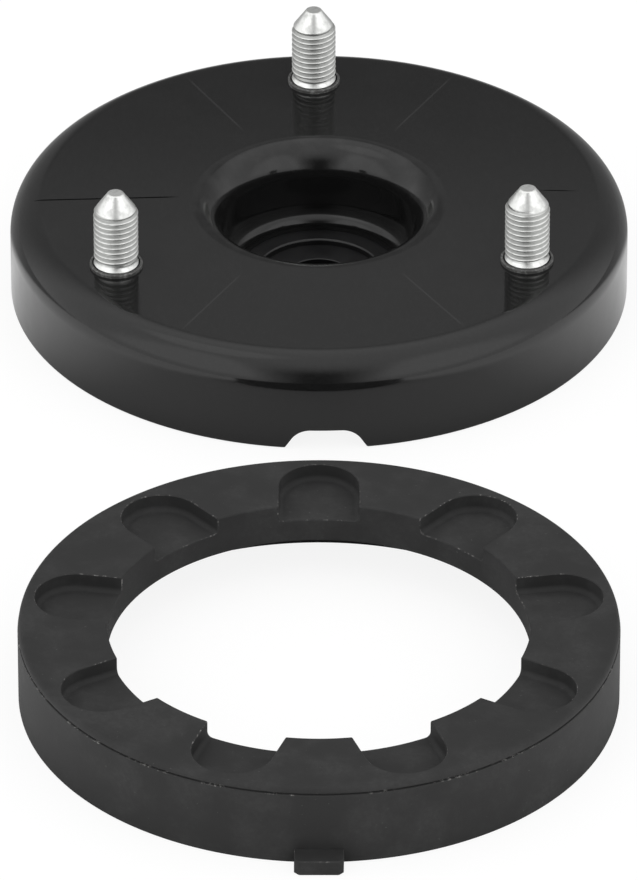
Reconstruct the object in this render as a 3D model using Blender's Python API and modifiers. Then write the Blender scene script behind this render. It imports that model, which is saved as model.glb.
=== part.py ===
"""Strut mount: a moulded upper mount with three studs and a pressed rod seat, and the
rubber spring isolator that nests in its skirt. The two are laid out on one surface,
the mount behind and the isolator in front with its pockets up. Metres, +Z up."""

import math

import bmesh
import bpy
from mathutils import Matrix

MM = 0.001

# Running and seating clearances
SEAT_GAP = 0.3 * MM
NEST_CLEARANCE = 0.6 * MM
LUG_CLEARANCE = 0.5 * MM

# Housing: a shallow cup, open side down
RIM_RADIUS = 82.0 * MM
HOUSING_HEIGHT = 26.0 * MM
SHOULDER_RADIUS = 8.6 * MM
SKIRT_WALL = 5.5 * MM
PLATE_THICKNESS = 5.0 * MM
RIM_EDGE = 0.8 * MM
INNER_FILLET = 2.5 * MM
HOUSING_TURN = math.radians(1.3)

# Housing: the stepped bore for the strut rod
BORE_RADIUS = 25.2 * MM
LIP_RADIUS = 9.0 * MM
HUB_WALL = 4.8 * MM
HUB_FOOT_HEIGHT = 0.6 * MM
LEDGE_HEIGHT = 9.0 * MM
LEDGE_RADIUS = 21.0 * MM
LEDGE_ROUND = 2.4 * MM
LEDGE_THICKNESS = 4.5 * MM

# Pattern of lugs and studs
LUG_COUNT = 9
STUD_EVERY = 3
BOLT_CIRCLE_INSET = 19.6 * MM
LUG_END_RADIUS = 9.85 * MM
LUG_DEPTH = 4.2 * MM
LUG_REACH = 8.4 * MM
WEB_THICKNESS = 3.0 * MM
WEB_FOOT_HEIGHT = 4.0 * MM

# Studs: M12 fine thread, nose at the tip, smooth foot, round head under the plate
THREAD_RADIUS = 5.9 * MM
STUD_LENGTH = 22.2 * MM
TIP_FLAT_RADIUS = 1.75 * MM
TIP_ROUND = 0.6 * MM
NOSE_ANGLE = math.radians(35.0)
NOSE_STEP = 0.55 * MM
RUN_OUT = 1.0 * MM
NECK_RADIUS = 5.2 * MM
NECK_HEIGHT = 2.4 * MM
FLARE_RADIUS = 6.0 * MM
HEAD_RADIUS = 8.0 * MM
HEAD_COVER = 2.8 * MM
COLLAR_RADIUS = 7.0 * MM
COLLAR_HEIGHT = 1.0 * MM

# Pressed rod seat
SEAT_RADIUS = 23.7 * MM
SEAT_SHEET = 2.0 * MM
DISH_RADIUS = 16.1 * MM
DISH_DEPTH = 1.6 * MM
DISH_ROUND = 0.7 * MM
ROD_HOLE_RADIUS = 8.8 * MM

# Isolator ring
ISOLATOR_HEIGHT = 22.2 * MM
ISOLATOR_WIDTH = 22.5 * MM
ISOLATOR_TOP_CHAMFER = 1.3 * MM
ISOLATOR_EDGE = 0.6 * MM
POCKET_DEPTH = 4.5 * MM
POCKET_FILLET = 1.4 * MM
COIL_SEAT_THICKNESS = 10.9 * MM
COIL_FILLET = 5.0 * MM
ISOLATOR_SKIRT_WALL = 6.2 * MM

# Key tab of the isolator and its notch in the housing's rim
TAB_WIDTH = 12.4 * MM
TAB_HEIGHT = 4.1 * MM
TAB_SETBACK = 0.6 * MM
TAB_CORNER = 1.2 * MM
NOTCH_SIDE_ROOM = 5.2 * MM
NOTCH_HEIGHT = 5.0 * MM
NOTCH_TAPER = 5.8 * MM
NOTCH_ROUND = 2.2 * MM
NOTCH_FOOT_ROUND = 2.0 * MM

# Layout on the bench
CLEAR_BETWEEN = 38.7 * MM

# Facets round a full turn, and along a rounded corner
HOUSING_FACETS = 80
ISOLATOR_FACETS = 72
SEAT_FACETS = 48
STUD_FACETS = 24
CORNER_STEPS = 5
SMALL_CORNER_STEPS = 3
U_END_STEPS = 14

# How far a joined or cutting shape runs past the face it meets
OVERRUN = 1.0 * MM
MERGE = 0.01 * MM
FULL_TURN = 2.0 * math.pi
RIGHT_ANGLE = math.pi / 2.0
BACK = RIGHT_ANGLE
FRONT = -RIGHT_ANGLE

# Sizes worked out from those above
SKIRT_INNER_RADIUS = RIM_RADIUS - SKIRT_WALL
PLATE_UNDERSIDE = HOUSING_HEIGHT - PLATE_THICKNESS
HUB_RADIUS = BORE_RADIUS + HUB_WALL
LEDGE_UNDERSIDE = LEDGE_HEIGHT - LEDGE_THICKNESS
BOLT_CIRCLE_RADIUS = RIM_RADIUS - BOLT_CIRCLE_INSET
LUG_INNER_RADIUS = BOLT_CIRCLE_RADIUS - LUG_REACH
ISOLATOR_RADIUS = SKIRT_INNER_RADIUS - NEST_CLEARANCE
ISOLATOR_BORE_RADIUS = ISOLATOR_RADIUS - ISOLATOR_WIDTH
POCKET_END_RADIUS = LUG_END_RADIUS + LUG_CLEARANCE
TAB_OUTER_RADIUS = RIM_RADIUS - TAB_SETBACK
SET_LENGTH = 2.0 * RIM_RADIUS + CLEAR_BETWEEN + ISOLATOR_RADIUS + TAB_OUTER_RADIUS
HOUSING_Y = SET_LENGTH / 2.0 - RIM_RADIUS
ISOLATOR_Y = TAB_OUTER_RADIUS - SET_LENGTH / 2.0

# Finishes: name, linear colour, roughness, metallic
MOULDED_BLACK = ("moulded_black", (0.012, 0.012, 0.012, 1.0), 0.25, 0.0)
ZINC_PLATE = ("zinc_plate", (0.62, 0.62, 0.60, 1.0), 0.32, 1.0)
BLACK_COATED_STEEL = ("black_coated_steel", (0.02, 0.02, 0.02, 1.0), 0.4, 0.0)
MOULDED_RUBBER = ("moulded_rubber", (0.035, 0.035, 0.034, 1.0), 0.75, 0.0)


def clear_scene():
    for obj in list(bpy.data.objects):
        bpy.data.objects.remove(obj, do_unlink=True)


def new_collection(name):
    group = bpy.data.collections.new(name)
    bpy.context.scene.collection.children.link(group)
    return group


def make_material(finish):
    name, colour, roughness, metallic = finish
    material = bpy.data.materials.new(name)
    material.use_nodes = True
    shader = material.node_tree.nodes["Principled BSDF"]
    shader.inputs["Base Color"].default_value = colour
    shader.inputs["Roughness"].default_value = roughness
    shader.inputs["Metallic"].default_value = metallic
    material.diffuse_color = colour
    return material


def add_object(name, mesh, group):
    obj = bpy.data.objects.new(name, mesh)
    group.objects.link(obj)
    return obj


def add_part(obj, finish, carrier):
    obj.data.materials.append(make_material(finish))
    obj.parent = carrier
    return obj


def add_carrier(name, group, y, turn):
    carrier = bpy.data.objects.new(name, None)
    carrier.location = (0.0, y, 0.0)
    carrier.rotation_euler = (0.0, 0.0, turn)
    group.objects.link(carrier)
    return carrier


def corner(centre_r, centre_z, radius, start, end, steps):
    """Points of a round corner; angles in degrees, 0 outward and 90 up."""
    points = []
    for step in range(steps + 1):
        angle = math.radians(start + (end - start) * step / steps)
        points.append((centre_r + radius * math.cos(angle), centre_z + radius * math.sin(angle)))
    return points


def turned(name, outline, facets, group, closed=True):
    """A solid of revolution; the outline runs down its outer side, top to bottom."""
    mesh = bpy.data.meshes.new(name)
    edges = [(i, i + 1) for i in range(len(outline) - 1)]
    if closed:
        edges.append((len(outline) - 1, 0))
    mesh.from_pydata([(r, 0.0, z) for r, z in outline], edges, [])
    obj = add_object(name, mesh, group)
    screw = obj.modifiers.new("Turn", "SCREW")
    screw.axis = "Z"
    screw.angle = FULL_TURN
    screw.steps = facets
    screw.render_steps = facets
    screw.use_merge_vertices = True
    screw.merge_threshold = MERGE
    screw.use_smooth_shade = True
    return obj


def slab(name, outline, bottom, top, group):
    """A flat outline in X and Y made a closed slab between two heights."""
    curve = bpy.data.curves.new(name, "CURVE")
    curve.dimensions = "2D"
    curve.fill_mode = "BOTH"
    curve.extrude = (top - bottom) / 2.0
    spline = curve.splines.new("POLY")
    spline.points.add(len(outline) - 1)
    for point, (x, y) in zip(spline.points, outline):
        point.co = (x, y, 0.0, 1.0)
    spline.use_cyclic_u = True
    flat = add_object(name + "_outline", curve, group)
    flat.location.z = (top + bottom) / 2.0
    bpy.context.view_layer.update()
    graph = bpy.context.evaluated_depsgraph_get()
    mesh = bpy.data.meshes.new_from_object(flat.evaluated_get(graph))
    weld(mesh)
    obj = add_object(name, mesh, group)
    obj.matrix_world = flat.matrix_world
    bpy.data.objects.remove(flat, do_unlink=True)
    return obj


def weld(mesh):
    shape = bmesh.new()
    shape.from_mesh(mesh)
    bmesh.ops.remove_doubles(shape, verts=shape.verts, dist=MERGE)
    bmesh.ops.dissolve_limit(shape, angle_limit=math.radians(1.0), verts=shape.verts, edges=shape.edges)
    bmesh.ops.recalc_face_normals(shape, faces=shape.faces)
    shape.to_mesh(mesh)
    shape.free()


def round_lower_edge(obj, radius):
    """Fillets the edge round the underside of a slab."""
    shape = bmesh.new()
    shape.from_mesh(obj.data)
    lowest = min(vert.co.z for vert in shape.verts)
    rim = [edge for edge in shape.edges if all(abs(v.co.z - lowest) < MERGE for v in edge.verts)]
    bmesh.ops.bevel(shape, geom=rim, offset=radius, segments=SMALL_CORNER_STEPS, affect="EDGES",
                    profile=0.5, material=-1, clamp_overlap=True)
    shape.to_mesh(obj.data)
    shape.free()


def ring_of_copies(obj, angles):
    """Turns one solid at +X into a joined set, with a copy at each angle round Z."""
    source = obj.data.copy()
    source.transform(obj.matrix_world)
    shape = bmesh.new()
    for angle in angles:
        copy = source.copy()
        copy.transform(Matrix.Rotation(angle, 4, "Z"))
        shape.from_mesh(copy)
        bpy.data.meshes.remove(copy)
    shape.to_mesh(obj.data)
    shape.free()
    bpy.data.meshes.remove(source)
    obj.matrix_world = Matrix.Identity(4)
    return obj


def as_tool(obj, carrier):
    """A cutter or a shape to be joined: kept as a wire guide on its carrier."""
    obj.parent = carrier
    obj.hide_render = True
    obj.display_type = "WIRE"
    return obj


def combine(obj, tool, operation):
    boolean = obj.modifiers.new(tool.name, "BOOLEAN")
    boolean.operation = operation
    boolean.solver = "EXACT"
    boolean.object = tool


def lug_angles():
    return [BACK + FULL_TURN * i / LUG_COUNT for i in range(LUG_COUNT)]


def stud_angles():
    return lug_angles()[::STUD_EVERY]


def u_outline(end_radius, inner_radius):
    """A U with its round end outward on the bolt circle and its square end inward."""
    points = [(inner_radius, -end_radius)]
    for step in range(U_END_STEPS + 1):
        angle = -RIGHT_ANGLE + math.pi * step / U_END_STEPS
        points.append((BOLT_CIRCLE_RADIUS + end_radius * math.cos(angle), end_radius * math.sin(angle)))
    points.append((inner_radius, end_radius))
    return points


def housing_outline():
    lip_centre = (BORE_RADIUS + LIP_RADIUS, HOUSING_HEIGHT - LIP_RADIUS)
    shoulder_centre = (RIM_RADIUS - SHOULDER_RADIUS, HOUSING_HEIGHT - SHOULDER_RADIUS)
    under = PLATE_UNDERSIDE - INNER_FILLET
    outline = corner(*lip_centre, LIP_RADIUS, 180.0, 90.0, CORNER_STEPS)
    outline += corner(*shoulder_centre, SHOULDER_RADIUS, 90.0, 0.0, CORNER_STEPS)
    outline += [(RIM_RADIUS, RIM_EDGE), (RIM_RADIUS - RIM_EDGE, 0.0), (SKIRT_INNER_RADIUS, 0.0)]
    outline += corner(SKIRT_INNER_RADIUS - INNER_FILLET, under, INNER_FILLET, 0.0, 90.0, SMALL_CORNER_STEPS)
    outline += corner(HUB_RADIUS + INNER_FILLET, under, INNER_FILLET, 90.0, 180.0, SMALL_CORNER_STEPS)
    outline += [(HUB_RADIUS, HUB_FOOT_HEIGHT), (SEAT_RADIUS + SEAT_GAP, HUB_FOOT_HEIGHT)]
    outline += [(SEAT_RADIUS + SEAT_GAP, LEDGE_UNDERSIDE), (LEDGE_RADIUS, LEDGE_UNDERSIDE)]
    outline += corner(LEDGE_RADIUS + LEDGE_ROUND, LEDGE_HEIGHT - LEDGE_ROUND, LEDGE_ROUND,
                      180.0, 90.0, SMALL_CORNER_STEPS)
    outline.append((BORE_RADIUS, LEDGE_HEIGHT))
    return outline


def make_collars(tools, carrier):
    """Low raised rings that the mould leaves round the studs."""
    mesh = bpy.data.meshes.new("stud_collars")
    shape = bmesh.new()
    bmesh.ops.create_cone(shape, cap_ends=True, segments=STUD_FACETS, radius1=COLLAR_RADIUS,
                          radius2=COLLAR_RADIUS, depth=COLLAR_HEIGHT + OVERRUN)
    middle = HOUSING_HEIGHT + (COLLAR_HEIGHT - OVERRUN) / 2.0
    bmesh.ops.translate(shape, verts=shape.verts, vec=(BOLT_CIRCLE_RADIUS, 0.0, middle))
    shape.to_mesh(mesh)
    shape.free()
    collars = ring_of_copies(add_object("stud_collars", mesh, tools), stud_angles())
    return as_tool(collars, carrier)


def make_lugs(tools, carrier):
    """Round-ended lugs under the plate, each keyed to a pocket of the isolator."""
    outline = u_outline(LUG_END_RADIUS, LUG_INNER_RADIUS)
    lug = slab("lugs", outline, PLATE_UNDERSIDE - LUG_DEPTH, PLATE_UNDERSIDE + OVERRUN, tools)
    return as_tool(ring_of_copies(lug, lug_angles()), carrier)


def make_webs(tools, carrier):
    """Sloping webs from the hub's foot out to each lug."""
    inner = HUB_RADIUS - HUB_WALL / 2.0
    outer = LUG_INNER_RADIUS + OVERRUN
    outline = [(inner, WEB_FOOT_HEIGHT), (HUB_RADIUS + OVERRUN, WEB_FOOT_HEIGHT),
               (outer, PLATE_UNDERSIDE - LUG_DEPTH), (outer, PLATE_UNDERSIDE + OVERRUN),
               (inner, PLATE_UNDERSIDE + OVERRUN)]
    web = slab("webs", outline, -WEB_THICKNESS / 2.0, WEB_THICKNESS / 2.0, tools)
    web.data.transform(web.matrix_world)
    web.matrix_world = Matrix.Rotation(RIGHT_ANGLE, 4, "X")
    bpy.context.view_layer.update()
    return as_tool(ring_of_copies(web, lug_angles()), carrier)


def make_stud_bores(tools, carrier):
    """Stepped bores that the studs are pressed up into from below."""
    below = PLATE_UNDERSIDE - LUG_DEPTH - OVERRUN
    cover = HOUSING_HEIGHT - HEAD_COVER
    above = HOUSING_HEIGHT + COLLAR_HEIGHT + OVERRUN
    neck = FLARE_RADIUS + SEAT_GAP
    head = HEAD_RADIUS + SEAT_GAP
    outline = [(0.0, above), (neck, above), (neck, cover), (head, cover), (head, below), (0.0, below)]
    bore = turned("stud_bores", outline, STUD_FACETS, tools, closed=False)
    graph = bpy.context.evaluated_depsgraph_get()
    mesh = bpy.data.meshes.new_from_object(bore.evaluated_get(graph))
    mesh.transform(Matrix.Translation((BOLT_CIRCLE_RADIUS, 0.0, 0.0)))
    bore.modifiers.clear()
    bore.data = mesh
    return as_tool(ring_of_copies(bore, stud_angles()), carrier)


def notch_outline():
    """The notch seen from the front: its right side from the foot up, then the left mirrored."""
    foot = TAB_WIDTH / 2.0 + NOTCH_SIDE_ROOM
    crown = foot - NOTCH_TAPER
    slope = math.atan2(NOTCH_HEIGHT, NOTCH_TAPER)
    tilt = math.degrees(slope)
    foot_end = foot + NOTCH_FOOT_ROUND * math.tan(slope / 2.0)
    crown_end = crown - NOTCH_ROUND * math.tan(slope / 2.0)
    right = [(foot_end, -OVERRUN)]
    right += corner(foot_end, NOTCH_FOOT_ROUND, NOTCH_FOOT_ROUND, -90.0, -90.0 - tilt,
                    SMALL_CORNER_STEPS)
    right += corner(crown_end, NOTCH_HEIGHT - NOTCH_ROUND, NOTCH_ROUND, 90.0 - tilt, 90.0,
                    SMALL_CORNER_STEPS)
    return right + [(-x, z) for x, z in reversed(right)]


def make_notch(tools, carrier):
    """The notch in the rim that the isolator's tab keys into."""
    notch = slab("rim_notch", notch_outline(), SKIRT_INNER_RADIUS - OVERRUN, RIM_RADIUS + OVERRUN, tools)
    notch.data.transform(Matrix.Rotation(RIGHT_ANGLE, 4, "X") @ notch.matrix_world)
    notch.matrix_world = Matrix.Identity(4)
    return as_tool(notch, carrier)


def make_housing(parts, tools, carrier):
    housing = turned("housing", housing_outline(), HOUSING_FACETS, parts)
    combine(housing, make_collars(tools, carrier), "UNION")
    combine(housing, make_lugs(tools, carrier), "UNION")
    combine(housing, make_webs(tools, carrier), "UNION")
    combine(housing, make_notch(tools, carrier), "DIFFERENCE")
    combine(housing, make_stud_bores(tools, carrier), "DIFFERENCE")
    return add_part(housing, MOULDED_BLACK, carrier)


def stud_outline():
    """From the tip on the axis down to the head's underside; zero is the housing's top."""
    thread_foot = NECK_HEIGHT + THREAD_RADIUS - NECK_RADIUS
    head_foot = SEAT_GAP - PLATE_THICKNESS - LUG_DEPTH
    head_top = -HEAD_COVER - SEAT_GAP
    tip = corner(TIP_FLAT_RADIUS, STUD_LENGTH - TIP_ROUND, TIP_ROUND, 90.0, math.degrees(NOSE_ANGLE),
                 SMALL_CORNER_STEPS)
    nose_top_radius, nose_top = tip[-1]
    nose_radius = THREAD_RADIUS - NOSE_STEP
    nose_foot = nose_top - (nose_radius - nose_top_radius) / math.tan(NOSE_ANGLE)
    outline = [(0.0, STUD_LENGTH)] + tip
    outline += [(nose_radius, nose_foot), (THREAD_RADIUS, nose_foot - RUN_OUT),
                (THREAD_RADIUS, thread_foot), (NECK_RADIUS, NECK_HEIGHT)]
    for step in range(1, SMALL_CORNER_STEPS + 1):
        share = step / SMALL_CORNER_STEPS
        widen = (FLARE_RADIUS - NECK_RADIUS) * share * share
        outline.append((NECK_RADIUS + widen, NECK_HEIGHT + (COLLAR_HEIGHT - NECK_HEIGHT) * share))
    outline += [(FLARE_RADIUS, head_top), (HEAD_RADIUS, head_top), (HEAD_RADIUS, head_foot),
                (0.0, head_foot)]
    return outline


def make_studs(parts, carrier):
    names = ("stud_back", "stud_left", "stud_right")
    studs = []
    for name, angle in zip(names, stud_angles()):
        stud = turned(name, stud_outline(), STUD_FACETS, parts, closed=False)
        stud.location = (BOLT_CIRCLE_RADIUS * math.cos(angle), BOLT_CIRCLE_RADIUS * math.sin(angle),
                         HOUSING_HEIGHT)
        studs.append(add_part(stud, ZINC_PLATE, carrier))
    return studs


def make_rod_seat(parts, carrier):
    """A dished washer pressed up under the bore's ledge, with the hole for the rod."""
    top = LEDGE_UNDERSIDE - SEAT_GAP
    floor = top - DISH_DEPTH
    flank = DISH_RADIUS - DISH_ROUND
    outer_flank = DISH_RADIUS + SEAT_SHEET
    outline = [(ROD_HOLE_RADIUS, floor), (flank, floor)]
    outline += corner(DISH_RADIUS + DISH_ROUND, top - DISH_ROUND, DISH_ROUND, 180.0, 90.0,
                      SMALL_CORNER_STEPS)
    outline += [(SEAT_RADIUS, top), (SEAT_RADIUS, top - SEAT_SHEET), (outer_flank, top - SEAT_SHEET),
                (outer_flank - DISH_ROUND, floor - SEAT_SHEET), (ROD_HOLE_RADIUS, floor - SEAT_SHEET)]
    return add_part(turned("rod_seat", outline, SEAT_FACETS, parts), BLACK_COATED_STEEL, carrier)


def isolator_outline():
    """Top plate with an outer skirt; the coil spring seats in the angle under it."""
    skirt_inner = ISOLATOR_RADIUS - ISOLATOR_SKIRT_WALL
    seat = ISOLATOR_HEIGHT - COIL_SEAT_THICKNESS
    outline = [(ISOLATOR_BORE_RADIUS, ISOLATOR_HEIGHT)]
    outline += corner(ISOLATOR_RADIUS - ISOLATOR_TOP_CHAMFER, ISOLATOR_HEIGHT - ISOLATOR_TOP_CHAMFER,
                      ISOLATOR_TOP_CHAMFER, 90.0, 0.0, SMALL_CORNER_STEPS)
    outline += [(ISOLATOR_RADIUS, ISOLATOR_EDGE), (ISOLATOR_RADIUS - ISOLATOR_EDGE, 0.0),
                (skirt_inner, 0.0)]
    outline += corner(skirt_inner - COIL_FILLET, seat - COIL_FILLET, COIL_FILLET, 0.0, 90.0, CORNER_STEPS)
    outline += [(ISOLATOR_BORE_RADIUS + ISOLATOR_EDGE, seat), (ISOLATOR_BORE_RADIUS, seat + ISOLATOR_EDGE)]
    return outline


def make_pockets(tools, carrier):
    """Pockets for the housing's lugs, open to the bore."""
    outline = u_outline(POCKET_END_RADIUS, ISOLATOR_BORE_RADIUS - POCKET_END_RADIUS)
    floor = ISOLATOR_HEIGHT - POCKET_DEPTH
    pocket = slab("pockets", outline, floor, ISOLATOR_HEIGHT + OVERRUN, tools)
    round_lower_edge(pocket, POCKET_FILLET)
    return as_tool(ring_of_copies(pocket, lug_angles()), carrier)


def make_tab(tools, carrier):
    """The key tab at the foot of the isolator's wall."""
    half = TAB_WIDTH / 2.0
    inner = ISOLATOR_RADIUS - ISOLATOR_SKIRT_WALL / 2.0
    outline = [(inner, -half), (TAB_OUTER_RADIUS - TAB_CORNER, -half),
               (TAB_OUTER_RADIUS, -half + TAB_CORNER), (TAB_OUTER_RADIUS, half - TAB_CORNER),
               (TAB_OUTER_RADIUS - TAB_CORNER, half), (inner, half)]
    tab = slab("key_tab", outline, 0.0, TAB_HEIGHT, tools)
    return as_tool(ring_of_copies(tab, [FRONT]), carrier)


def make_isolator(parts, tools, carrier):
    isolator = turned("spring_isolator", isolator_outline(), ISOLATOR_FACETS, parts)
    combine(isolator, make_tab(tools, carrier), "UNION")
    combine(isolator, make_pockets(tools, carrier), "DIFFERENCE")
    return add_part(isolator, MOULDED_RUBBER, carrier)


def main():
    clear_scene()
    parts = new_collection("strut_mount")
    tools = new_collection("strut_mount_tools")
    mount = add_carrier("mount_axis", parts, HOUSING_Y, HOUSING_TURN)
    nest = add_carrier("isolator_axis", parts, ISOLATOR_Y, 0.0)
    make_housing(parts, tools, mount)
    make_studs(parts, mount)
    make_rod_seat(parts, mount)
    make_isolator(parts, tools, nest)


main()
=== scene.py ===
"""Looks of a strut mount set: a glossy moulded mount with three plated studs and a pressed
rod seat, and the matt rubber spring isolator that nests in its skirt.

Run as a script in Blender 4.5. Metres, +Z up; the mount lies behind, the isolator in front."""

import math

import bmesh
import bpy
from bpy.props import FloatProperty, FloatVectorProperty, PointerProperty
from mathutils import Matrix, Vector


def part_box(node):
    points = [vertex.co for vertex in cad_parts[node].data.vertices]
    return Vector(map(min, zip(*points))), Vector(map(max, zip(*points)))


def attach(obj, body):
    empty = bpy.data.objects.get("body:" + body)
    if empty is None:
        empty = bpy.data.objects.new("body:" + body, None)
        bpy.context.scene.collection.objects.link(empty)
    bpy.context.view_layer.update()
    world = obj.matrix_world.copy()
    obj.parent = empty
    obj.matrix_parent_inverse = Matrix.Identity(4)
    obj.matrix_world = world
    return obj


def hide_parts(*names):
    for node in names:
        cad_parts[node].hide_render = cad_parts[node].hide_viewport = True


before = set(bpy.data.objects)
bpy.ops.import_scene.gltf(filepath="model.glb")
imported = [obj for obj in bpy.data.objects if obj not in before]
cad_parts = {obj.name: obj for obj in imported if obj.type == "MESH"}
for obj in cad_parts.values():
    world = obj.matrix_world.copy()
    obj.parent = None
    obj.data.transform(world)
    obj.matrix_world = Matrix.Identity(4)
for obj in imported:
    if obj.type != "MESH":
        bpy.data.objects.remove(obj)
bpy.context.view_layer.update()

bl_info = {
    "name": "Strut mount set",
    "version": (1, 0, 0),
    "blender": (4, 5, 0),
    "location": "View3D > Sidebar > Strut mount",
    "description": "Models the mount, its studs and rod seat, and the rubber isolator",
    "category": "Add Mesh",
}

MM = 0.001
FULL_TURN = 2.0 * math.pi
RIGHT_ANGLE = math.pi / 2.0
MERGE = 0.001 * MM
CAMERA_TILT = math.radians(32.41)

# Facets round the large, the middle and the small turned forms
LARGE_STEPS = 252
SEAT_STEPS = 160
SMALL_STEPS = 64


def middle(node):
    """Middle of a solid's box."""
    low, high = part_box(node)
    return (low + high) / 2.0


def on_floor(point):
    return Vector((point.x, point.y, 0.0))


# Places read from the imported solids
HOUSING_LOW, HOUSING_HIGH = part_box("housing")
ISOLATOR_LOW, ISOLATOR_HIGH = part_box("spring_isolator")
ROD_SEAT_LOW, ROD_SEAT_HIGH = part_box("rod_seat")
STUD_LOW, STUD_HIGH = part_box("stud_back")
STUD_NAMES = ("stud_back", "stud_left", "stud_right")
RIM_RADIUS = (HOUSING_HIGH.x - HOUSING_LOW.x) / 2.0
RING_RADIUS = (ISOLATOR_HIGH.x - ISOLATOR_LOW.x) / 2.0
ROD_SEAT_RADIUS = (ROD_SEAT_HIGH.x - ROD_SEAT_LOW.x) / 2.0
HEAD_RADIUS = (STUD_HIGH.x - STUD_LOW.x) / 2.0
MOUNT_AXIS = on_floor(middle("housing"))
RING_AXIS = Vector((middle("spring_isolator").x, ISOLATOR_HIGH.y - RING_RADIUS, 0.0))
BACK_STUD = on_floor(middle("stud_back")) - MOUNT_AXIS
BOLT_CIRCLE_RADIUS = BACK_STUD.length
MOUNT_TURN = math.atan2(BACK_STUD.y, BACK_STUD.x) - RIGHT_ANGLE

# Fixed counts and small sizes of the mouldings
LUG_COUNT = 9
STUD_EVERY = 3
OVERRUN = 1.0 * MM
COLLAR_HEIGHT = 1.0 * MM
SEAT_GAP = 0.3 * MM
PLATE_TOP = HOUSING_HIGH.z - COLLAR_HEIGHT
TIP_ABOVE_PLATE = STUD_HIGH.z - PLATE_TOP


def linear(code):
    """An sRGB hex colour as linear red, green and blue."""
    parts = [int(code[i:i + 2], 16) / 255.0 for i in (1, 3, 5)]
    return [part / 12.92 if part <= 0.04045 else ((part + 0.055) / 1.055) ** 2.4 for part in parts]


def length(name, description, default):
    return FloatProperty(name=name, description=description, default=default, min=0.0,
                         subtype="DISTANCE", unit="LENGTH", precision=5)


def colour(name, description, code):
    return FloatVectorProperty(name=name, description=description, default=linear(code), size=3,
                               min=0.0, max=1.0, subtype="COLOR")


def share(name, description, default):
    return FloatProperty(name=name, description=description, default=default, min=0.0, max=1.0,
                         subtype="FACTOR")


def level(name, description, default):
    return FloatProperty(name=name, description=description, default=default, min=0.0)


def turn(name, description, default):
    return FloatProperty(name=name, description=description, default=default, subtype="ANGLE",
                         unit="ROTATION")


class HousingSettings(bpy.types.PropertyGroup):
    rim_radius: length("Rim radius", "Outer radius of the skirt", RIM_RADIUS)
    height: length("Height", "From the rim to the top of the plate", PLATE_TOP)
    shoulder_radius: length("Shoulder radius", "Round between the plate and the skirt", 8.6 * MM)
    skirt_wall: length("Skirt wall", "Thickness of the skirt", 5.5 * MM)
    plate_thickness: length("Plate thickness", "Thickness of the top plate", 5.0 * MM)
    bore_radius: length("Bore radius", "Radius of the bore's straight wall", 25.7 * MM)
    lip_radius: length("Lip radius", "Round between the plate and the bore", 8.5 * MM)
    hub_wall: length("Hub wall", "Thickness of the wall round the bore", 4.3 * MM)
    ledge_height: length("Ledge height", "Top of the ledge in the bore, above the rim", 8.1 * MM)
    ledge_radius: length("Ledge radius", "Inner radius of the ledge", 21.0 * MM)
    ledge_round: length("Ledge round", "Round on the ledge's inner edge", 3.2 * MM)
    notch_height: length("Notch height", "Height of the notch in the rim", 5.8 * MM)
    moulding: colour("Moulding", "Colour of the black moulding", "#171717")
    pressed: colour("Pressed collars", "Colour of the collars, greyed by pressing", "#4a4a49")
    roughness: share("Roughness", "Roughness of the moulded skin", 0.1)


class StudSettings(bpy.types.PropertyGroup):
    thread_radius: length("Thread radius", "Radius over the thread's crests", 5.9 * MM)
    pitch: length("Pitch", "Rise of the thread in one turn", 1.5 * MM)
    thread_depth: length("Thread depth", "From crest to root", 0.78 * MM)
    nose_angle: turn("Nose angle", "Slope of the tip's cone, from the axis", math.radians(35.0))
    tip_flat: length("Tip flat", "Radius of the flat at the tip", 1.75 * MM)
    tip_round: length("Tip round", "Round between the flat and the cone", 0.6 * MM)
    neck_height: length("Neck height", "Height of the narrow neck under the thread", 2.4 * MM)
    neck_radius: length("Neck radius", "Radius of the neck", 5.2 * MM)
    flare_radius: length("Flare radius", "Radius of the smooth foot at the collar", 6.0 * MM)
    plating: colour("Plating", "Colour of the zinc plate", "#f0f1ef")
    # Painted shade: this darker grey down in the thread stands in for the shade in its valleys.
    valley_shade: colour("Thread valleys", "Colour of the plate down in the thread", "#b9bab8")
    roughness: share("Roughness", "Roughness of the zinc plate", 0.36)


class IsolatorSettings(bpy.types.PropertyGroup):
    height: length("Height", "From the foot to the lands", ISOLATOR_HIGH.z)
    bore_radius: length("Bore radius", "Radius of the ring's bore", 53.4 * MM)
    pocket_depth: length("Pocket depth", "Depth of the pockets for the lugs", 4.5 * MM)
    pocket_radius: length("Pocket radius", "Radius of a pocket's round end", 10.35 * MM)
    pocket_fillet: length("Pocket fillet", "Round at the foot of a pocket's wall", 1.4 * MM)
    edge_round: length("Edge round", "Round on the outer top edge", 1.5 * MM)
    coil_seat_height: length("Coil seat height", "The spring's face, above the foot", 11.3 * MM)
    skirt_wall: length("Skirt wall", "Thickness of the outer wall", 6.2 * MM)
    tab_width: length("Tab width", "Width of the key tab", 12.4 * MM)
    tab_height: length("Tab height", "Height of the key tab", 4.1 * MM)
    rubber: colour("Rubber", "Colour of the rubber", "#2e2e2e")
    bloom: colour("Bloom", "Colour of the dry bloom on the rubber", "#434343")
    roughness: share("Roughness", "Roughness of the rubber", 0.72)


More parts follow.
